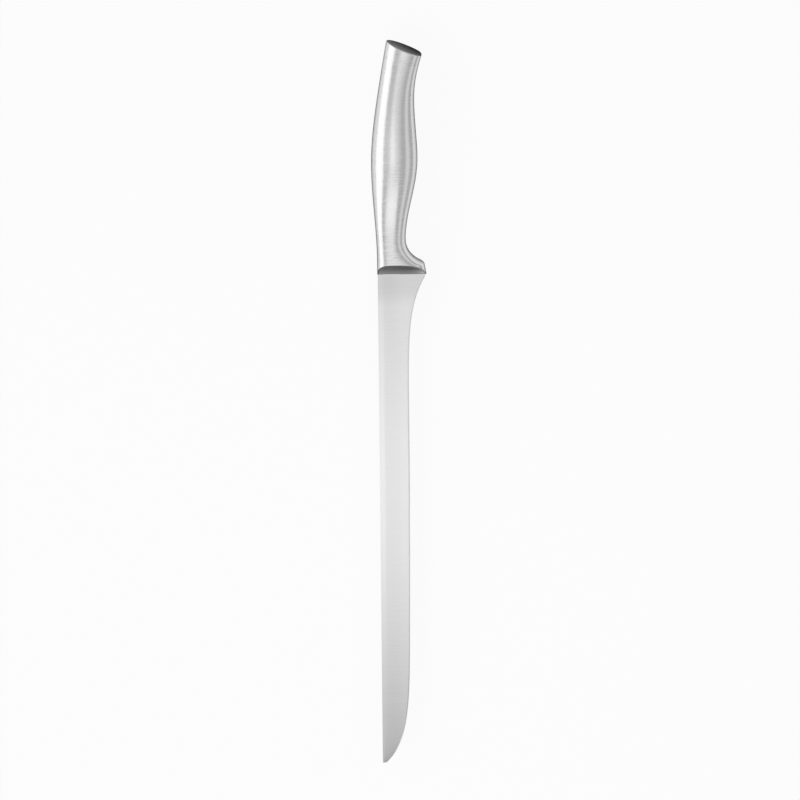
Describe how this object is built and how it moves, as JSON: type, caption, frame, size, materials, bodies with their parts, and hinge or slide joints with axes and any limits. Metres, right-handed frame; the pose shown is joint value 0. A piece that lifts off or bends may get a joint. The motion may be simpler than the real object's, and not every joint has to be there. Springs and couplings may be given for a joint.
{
  "type": "carving knife",
  "caption": "Long narrow carving knife of steel, with a straight spine, a swept heel, a rounded tip and a hollow handle whose butt droops into a slanted end cap.",
  "frame": {"origin": "on the middle plane of the blade, where its spine leaves the foot of the bolster", "axes": "+X along the spine towards the tip, +Y from the spine towards the cutting edge, +Z through the thickness, up as the knife lies on its side"},
  "size_m": [0.4144, 0.0297, 0.0184],
  "materials": {
    "blade_steel": "satin ground across the blade",
    "handle_steel": "brushed across the handle",
    "dark_steel": "dark and smooth",
    "plain_steel": "turned, unpolished"
  },
  "bodies": {
    "root": {"blade": "blade_steel", "bolster": "dark_steel", "bolster_pins": "plain_steel", "handle_shell_left": "handle_steel", "handle_shell_right": "handle_steel", "end_cap": "dark_steel", "balance_weight": "plain_steel", "weight_pin": "plain_steel"}
  },
  "joints": []
}
